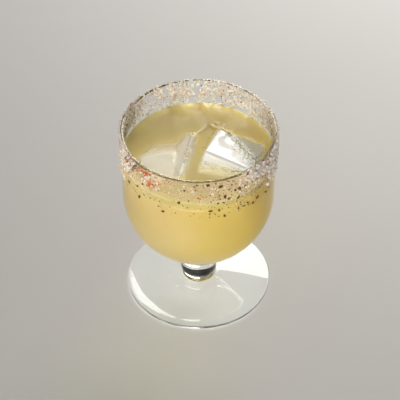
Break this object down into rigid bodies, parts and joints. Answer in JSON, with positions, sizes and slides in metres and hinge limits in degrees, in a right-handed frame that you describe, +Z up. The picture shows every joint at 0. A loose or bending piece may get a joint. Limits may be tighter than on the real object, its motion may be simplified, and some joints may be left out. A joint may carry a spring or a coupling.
{
  "type": "margarita cocktail in a glass",
  "caption": "Cloudy yellow iced cocktail in a clear short-stemmed glass with a round bowl, a disc foot and a salt and chilli band outside the rim.",
  "frame": {"origin": "middle of the foot's underside, on the table", "axes": "+Z up along the glass's axis; -Y is the side that faces the viewer; +X is to that viewer's right"},
  "size_m": [0.0812, 0.0812, 0.1109],
  "materials": {
    "clear_glass": "clear, smooth and glossy",
    "drink": "cloudy pale yellow liquid, wet and glossy",
    "ice": "wet clear ice, frosted inside",
    "salt": "coarse white salt crystals, some tinted pink by chilli",
    "chilli": "dry red and orange chilli flakes",
    "dark_flakes": "dry dark brown chilli skin and seed flakes"
  },
  "bodies": {
    "root": {"glass": "clear_glass", "drink": "drink", "ice_cube": "ice"}
  },
  "joints": []
}
